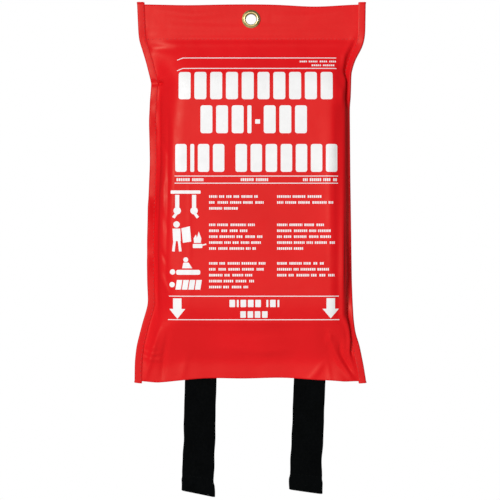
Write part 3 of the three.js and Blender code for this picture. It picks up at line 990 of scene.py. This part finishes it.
def side_seam(hand, column, inner_column):
    """The folded strip that binds one side, and the seam's threads on both faces of it."""
    edge, outward, normal, along = fin_frames(column, inner_column)
    last = len(edge) - 1
    steps = [(0, *step) for step in STRIP_TOP]
    steps += [(row, 0, 1.0) for row in range(last + 1)]
    steps += [(last, *step) for step in STRIP_BOTTOM]
    rings = []
    for row, reach, swelling in steps:
        base = edge[row] + along[row] * reach * MM
        section = [(a * MM, b * MM) for a, b in binding_outline(swelling)]
        rings.append([base + outward[row] * a + normal[row] * b for a, b in section])
    strip = ring_piece(f"{hand}_binding_strip", rings)
    subdivide(strip, 1)
    finish_piece(strip, BINDING, "pvc_binding", "pouch", f"{hand}_side_binding")
    pieces = [strip]
    for facing, word in ((1, "needle"), (-1, "bobbin")):
        places = edge - outward * SEAM_INSET + normal * facing * SEAM_LIFT
        name, node = (f"{hand}_binding_{word}_{kind}" for kind in ("stitches", "thread"))
        line = list(zip(places, normal * facing))
        pieces.append(stitches(name, [line], RED_THREAD, "red_thread", "pouch", node))
    for piece in pieces:
        pinch_left_shoulder(piece)
        flatten_with_blanket(piece)


STITCH_RADIUS = 0.24 * MM
STITCH_SIDES = 6
STITCH_GAP = 0.7 * MM
# Along a stitch: the share of its length, then its radius and its height as shares of STITCH_RADIUS
STITCH_PROFILE = [
    (0, 0.25, -0.7), (0.1, 0.75, -0.2), (0.3, 1, 0.25), (0.7, 1, 0.25), (0.9, 0.75, -0.2), (1, 0.25, -0.7),
]


def stitch_rings(start, end, out):
    """One stitch: a short thread that dips into the cloth at both ends."""
    direction = (end - start).normalized()
    side = direction.cross(out).normalized()
    turns = [2 * math.pi * i / STITCH_SIDES for i in range(STITCH_SIDES)]
    rings = []
    for along, radius, height in STITCH_PROFILE:
        middle = start.lerp(end, along) + out * (height * STITCH_RADIUS)
        reach = STITCH_RADIUS * radius
        rings.append([middle + (side * math.cos(t) + out * math.sin(t)) * reach for t in turns])
    return rings


def stitches(name, lines, look, slot, body, node, pitch=3.2 * MM):
    """Stitches, one every pitch metres, along lines of (point, outward normal) pairs."""
    vertices, faces = [], []
    for line in lines:
        track = np.array([(*point, *Vector(out).normalized()) for point, out in line])
        steps = np.linalg.norm(np.diff(track[:, :3], axis=0), axis=1)
        lengths = np.concatenate([[0], np.cumsum(steps)])
        count = max(1, int(lengths[-1] / pitch))
        marks = np.linspace(0, lengths[-1], count + 1)
        for mark, following in zip(marks, marks[1:]):
            start, end = (
                [np.interp(at, lengths, values) for values in track.T]
                for at in (mark + STITCH_GAP / 2, following - STITCH_GAP / 2)
            )
            faces += tube_faces(len(STITCH_PROFILE), STITCH_SIDES, len(vertices))
            for ring in stitch_rings(Vector(start[:3]), Vector(end[:3]), Vector(start[3:]).normalized()):
                vertices += ring
    piece = new_object(name, vertices, faces)
    fix_normals(piece)
    finish_piece(piece, look, slot, body, node)
    return piece


def header_stitches(name, skin, node):
    reach = FLAT_HALF - FIN - 2 * MM
    level = HEADER_SEAM + 0.3 * MM
    line = [(skin.point(x, level, 0.05 * MM), (0, skin.facing, 0)) for x in np.linspace(-reach, reach, 60)]
    piece = stitches(name, [line], RED_THREAD, "red_thread", "pouch", node, 3.0 * MM)
    flatten_with_blanket(piece)


EYELET_SIDES = 72
# The eyelet's sizes, in mm
EYELET_HOLE = 4.2  # its radius
EYELET_METAL = 0.42
EYELET_ROLL = 1.0  # radius of the flange's rounded mouth
PANEL_FACE = 0.72  # from the seam plane to each panel's outer face, under the eyelet


def lathe_y(name, outline):
    """A ring turned about the Y axis from its outline of (radius, y) in mm."""
    rings = []
    for i in range(EYELET_SIDES):
        turn = 2 * math.pi * i / EYELET_SIDES
        rings.append([(r * MM * math.cos(turn), y * MM, r * MM * math.sin(turn)) for r, y in outline])
    return ring_piece(name, rings, looped=True)


def eyelet_shell():
    """The rolled front flange, the tube through the hole and the lip that is clinched at the back."""
    rim, lip = EYELET_HIGH.x / MM, EYELET_HIGH.y / MM
    front, back = EYELET_LOW.y / MM, WASHER_HIGH.y / MM
    flange = (
        [(EYELET_HOLE, 0.0), (EYELET_HOLE, front + EYELET_ROLL)]
        + arc((EYELET_HOLE + EYELET_ROLL, front + EYELET_ROLL), EYELET_ROLL, 180, 285, 8)
        + [(rim - 1.3, front + 0.42)]
        + arc((rim - 0.55, -PANEL_FACE - 0.5), 0.55, -60, 60, 6)
        + [(rim - 1.2, -PANEL_FACE - 0.05), (EYELET_HOLE + 1.4, -PANEL_FACE - 0.1)]
        + [(EYELET_HOLE + EYELET_METAL, -PANEL_FACE)]
    )
    clinch = (
        [(EYELET_HOLE + EYELET_METAL, back + 0.02), (6.0, back + 0.05)]
        + arc((6.0, back + 0.4), 0.35, -60, 90, 5)
        + arc((EYELET_HOLE + 0.9, lip - 0.9), 0.9, 80, 180, 6)
    )
    shell = lathe_y("eyelet_shell", flange + clinch)
    finish_piece(shell, BRASS, "brass", "pouch", "eyelet_barrel")


def eyelet_ring():
    bore = EYELET_HOLE + EYELET_METAL + 0.15
    outer, back = WASHER_HIGH.x / MM, WASHER_HIGH.y / MM
    ring = lathe_y("eyelet_ring", (
        [(bore, PANEL_FACE), (bore, back - 0.1), (bore + 0.2, back), (outer - 0.6, back)]
        + arc((outer - 0.4, back - 0.4), 0.4, 90, -30, 5)
        + [(outer - 0.3, PANEL_FACE)]
    ))
    finish_piece(ring, BRASS, "brass", "pouch", "eyelet_washer")


TAPE_HALF = 17 * MM
TAPE_THICKNESS = 0.75 * MM
PILE_ROUGHNESS = 0.05 * MM


def closure_tape(name, node, facing, seed):
    """A patch of tape on the inside of one lip, from the lip's own shape."""
    lips = (FRONT[-LIP_ROWS:] + BACK[-LIP_ROWS:]) / 2
    patch = lips[:, np.abs(lips[-1, :, 0]) < TAPE_HALF]
    patch[-1] = mix(patch[-1], patch[-2], 0.25)
    patch[..., 1] += facing * 0.5 * MM
    piece = grid_piece(name, patch)
    subdivide(piece, 3, "PRESERVE_CORNERS")
    dice = np.random.default_rng(seed)
    for vertex in piece.data.vertices:
        vertex.co.y += dice.uniform(-PILE_ROUGHNESS, PILE_ROUGHNESS)
    thicken(piece, TAPE_THICKNESS)
    fix_normals(piece)
    finish_piece(piece, PILE, "hook_and_loop", "pouch", node)
    flatten_with_blanket(piece)


# ---- Folded blanket ----

STRAP_WIDTH = 25 * MM
STRAP_THICKNESS = 1.2 * MM
STRAP_HEM = 7.5 * MM
HEM_WIDENING = 0.8 * MM
STRAP_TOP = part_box("left_strap_inner")[1].z

BLANKET_NARROWING = 0.925  # the pouch's drawn-in sides press the pack narrower
BLANKET_ROUNDING = 7 * MM
PANELS_ACROSS = 8
PANELS_DOWN = 6


def serpentine(length, pitch, folds, straight_steps, bend_steps):
    """A line folded to and fro: (along, across) points from 0 to length, one run for each fold."""
    radius = pitch / 2
    points = []
    for run in range(folds):
        start, end = (radius, length - radius) if run % 2 == 0 else (length - radius, radius)
        points += [(mix(start, end, i / straight_steps), run * pitch) for i in range(straight_steps + 1)]
        if run < folds - 1:
            turn = math.copysign(180, end - start)
            points += arc((end, run * pitch + radius), radius, -90, turn - 90, bend_steps)[1:-1]
    return np.array(points)


def folded_blanket():
    """A square sheet folded like a concertina across and then down."""
    margin = 0.8 * MM
    width, depth, height = (high - low for low, high in zip(PACK_LOW, PACK_HIGH))
    layer = depth / (PANELS_ACROSS * PANELS_DOWN) * 0.98
    across = serpentine(width - 2 * margin, layer, PANELS_ACROSS, 10, 4)
    down = serpentine(height - 2 * margin, layer * PANELS_ACROSS, PANELS_DOWN, 12, 6)
    slope = np.gradient(down, axis=0)
    slope /= np.linalg.norm(slope, axis=1, keepdims=True)
    across_phase, down_phase = np.random.default_rng(11).uniform(0, 2 * math.pi, (2,))
    grid = np.zeros((len(down), len(across), 3))
    for row, ((v, y), (dv, dy)) in enumerate(zip(down, slope)):
        for column, (u, w) in enumerate(across):
            fold = w / layer
            offset = w - layer * (PANELS_ACROSS - 1) / 2
            at_x = PACK_LOW.x + margin + u
            at_y = PACK_LOW.y + layer * PANELS_ACROSS / 2 + y + offset * dv
            at_z = PACK_HIGH.z - margin - v + offset * dy
            at_x += 0.7 * MM * math.sin(at_z / (23 * MM) + across_phase + fold * 1.7)
            at_z += 0.9 * MM * math.sin(at_x / (31 * MM) + down_phase + fold * 1.3)
            grid[row, column] = (at_x, at_y, at_z)
    settle_edges(grid)
    piece = grid_piece("blanket_cloth", grid)
    finish_piece(piece, GLASS_CLOTH, "glass_cloth", "blanket", "folded_blanket")


def settle_edges(grid):
    """Rounds the pack's edges, as soft folds settle, and keeps it between the panels."""
    middle = (PACK_LOW.y + PACK_HIGH.y) / 2
    half_depth = (PACK_HIGH.y - PACK_LOW.y) / 2
    for place in grid.reshape(-1, 3):
        x, y, z = place
        edge = min(x - PACK_LOW.x, PACK_HIGH.x - x, z - PACK_LOW.z, PACK_HIGH.z - z)
        past = 1 - min(1.0, max(0.0, edge / BLANKET_ROUNDING))
        rounded = 0.95 * (1 - 0.35 * past * past)
        x *= BLANKET_NARROWING
        strap_room = STRAP_THICKNESS if z < STRAP_TOP + 5 * MM else 0.0
        front = FRONT_SKIN.point(x, z).y + FABRIC + 0.7 * MM + strap_room
        back = BACK_SKIN.point(x, z).y - FABRIC - 0.7 * MM
        room = max(0.3 * MM, min((back - front) / 2, half_depth)) / half_depth
        share = min(room, rounded)
        center = min(max(middle, front + share * half_depth), back - share * half_depth)
        place[:2] = x, center + (y - middle) * share


# ---- Straps ----

# For each strap: its middle, its end's sideways drift, level and slant, and its ripples' phase
STRAPS = {
    "left": (-39.3 * MM, -2.3 * MM, -369.8 * MM, -5.4 * MM, 0.4),
    "right": (45.7 * MM, -3.5 * MM, -368.3 * MM, -3.7 * MM, 2.1),
}
STRAP_ROWS = 96  # above the hem
HEM_BEND = 8  # steps round the hem's fold
HEM_ROWS = 4


def strap_depth(skin, x, z):
    """How far forward the strap lies: on the pack, then just behind the front panel, to the mouth."""
    on_pack = PACK_LOW.y - STRAP_THICKNESS / 2
    level = max(z, MOUTH_LEVEL + 2.5 * MM)
    across = [x + share * STRAP_WIDTH / 2 for share in (-1, -0.5, 0, 0.5, 1)]
    panel = max(skin.point(at, level).y for at in across)
    return max(on_pack, panel + FABRIC + 0.2 * MM + STRAP_THICKNESS / 2)


def strap_path(skin, x, end, phase, fold):
    """The strap's (depth, z) line: down the pack, out of the mouth, and round and up the hem."""
    levels = np.linspace(STRAP_TOP, end + fold, STRAP_ROWS)
    depths = [strap_depth(skin, x, z) for z in levels]
    mouth_depth = strap_depth(skin, x, MOUTH_LEVEL - 1 * MM)
    for i, z in enumerate(levels):
        if z < MOUTH_LEVEL:
            down = (MOUTH_LEVEL - z) / (MOUTH_LEVEL - end)
            sway = 0.5 * MM * math.sin(down * 5 + phase) * down
            depths[i] = mix(mouth_depth, 0.4 * MM, smooth(down * 2)) + sway
    depths = np.convolve(np.pad(depths, 2, mode="edge"), np.ones(5) / 5, mode="valid")
    path = list(zip(depths, levels))
    depth, z = path[-1]
    path += arc((depth + fold, z), fold, 180, 360, HEM_BEND)[1:]
    rises = [(STRAP_HEM - fold) * i / HEM_ROWS for i in range(1, HEM_ROWS + 1)]
    return path + [(depth + 2 * fold, z + rise) for rise in rises]


def strap_grid(skin, x, drift, end, slant, phase):
    """The strap's middle surface, row by row, with a gentle ripple where it hangs free."""
    fold = (STRAP_THICKNESS + 0.15 * MM) / 2
    rows = []
    for row, (depth, z) in enumerate(strap_path(skin, x, end, phase, fold)):
        hanging = min(1.0, max(0.0, (MOUTH_LEVEL - z) / (MOUTH_LEVEL - end)))
        wave = 0.35 * MM * math.sin(z / (7.5 * MM) + phase * 3) + 0.25 * MM * math.sin(z / (3.1 * MM) + phase)
        half_width = STRAP_WIDTH / 2 + (HEM_WIDENING if row >= STRAP_ROWS - 5 else 0.0)
        rows.append([])
        for across in np.linspace(-1, 1, 9):
            edge_wave = 0.2 * MM * math.sin(z / (5 * MM) + phase + across * 2) * hanging
            rows[-1].append((
                x + drift * hanging + wave * hanging + half_width * across + edge_wave,
                depth + 0.25 * MM * across * across * hanging,
                z + slant / 2 * across * smooth(hanging * 1.6 - 0.6),
            ))
    return np.array(rows)


def strap_webbing(hand, grid):
    piece = grid_piece(f"{hand}_strap_webbing", grid)
    thicken(piece, STRAP_THICKNESS)
    fix_normals(piece)
    subdivide(piece, 1)
    finish_piece(piece, WEBBING, "webbing", None)
    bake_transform(piece)
    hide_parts(f"{hand}_strap_inner", f"{hand}_strap_tail")


def strap_stitches(hand, grid, x):
    """The box with a cross that holds the strap to the blanket, and the hem's line."""
    face = PACK_LOW.y - STRAP_THICKNESS - 0.02 * MM
    half = 9.5 * MM
    top, bottom = STRAP_TOP - 5 * MM, STRAP_TOP - 41 * MM
    places = ((-half, top), (half, top), (half, bottom), (-half, bottom))
    a, b, c, d = ((x + aside, face, level) for aside, level in places)
    out = (0, -1, 0)
    box = [[(start, out), (end, out)] for start, end in ((a, b), (b, c), (c, d), (d, a), (a, c), (b, d))]
    name, node = (f"{hand}_strap_box_{kind}" for kind in ("stitches", "stitch"))
    stitches(name, box, BLACK_THREAD, "black_thread", "blanket", node)
    in_front = Vector((0, -STRAP_THICKNESS / 2 - 0.05 * MM, 0))
    hem = [(Vector(point) + in_front, out) for point in grid[STRAP_ROWS - 7, 1:-1]]
    name, node = (f"{hand}_strap_hem_{kind}" for kind in ("stitches", "thread"))
    stitches(name, [hem], BLACK_THREAD, "black_thread", f"{hand}_strap", node, 2.6 * MM)


# ---- Run ----

make_camera()
make_studio()
make_floor()

FRONT, BACK, HEADER_ROWS = simulate_envelope()
soften_ridge(FRONT, -67, (-38, -38), 26, 14)
soften_ridge(FRONT, -77, (-26, -22), 14, 8)
soften_ridge(FRONT, -64, (-225, -60), 14, 7)
part_layers(FRONT, BACK, HEADER_ROWS)
MOUTH_LEVEL = float(FRONT[-1, FRONT.shape[1] // 2, 2])

FRONT_SKIN = fabric_panel("front_fabric", "front_panel", FRONT, FRONT_FOLDS, -1)
BACK_SKIN = fabric_panel("back_fabric", "back_panel", BACK, BACK_FOLDS, 1)
for draw in (print_rules, print_title, print_small_text, print_arrows, print_pictograms):
    page = Print(draw.__name__)
    draw(page)
    page.lay(FRONT_SKIN)
for hand, column, inner_column in (("left", 0, 2), ("right", -1, -3)):
    side_seam(hand, column, inner_column)
header_stitches("header_front_stitches", FRONT_SKIN, "header_needle_thread")
header_stitches("header_back_stitches", BACK_SKIN, "header_bobbin_thread")
eyelet_shell()
eyelet_ring()
closure_tape("closure_hooks", "closure_hook_tape", -1, seed=3)
closure_tape("closure_loops", "closure_loop_tape", 1, seed=4)
folded_blanket()
for hand, facts in STRAPS.items():
    webbing_grid = strap_grid(FRONT_SKIN, *facts)
    strap_webbing(hand, webbing_grid)
    strap_stitches(hand, webbing_grid, facts[0])
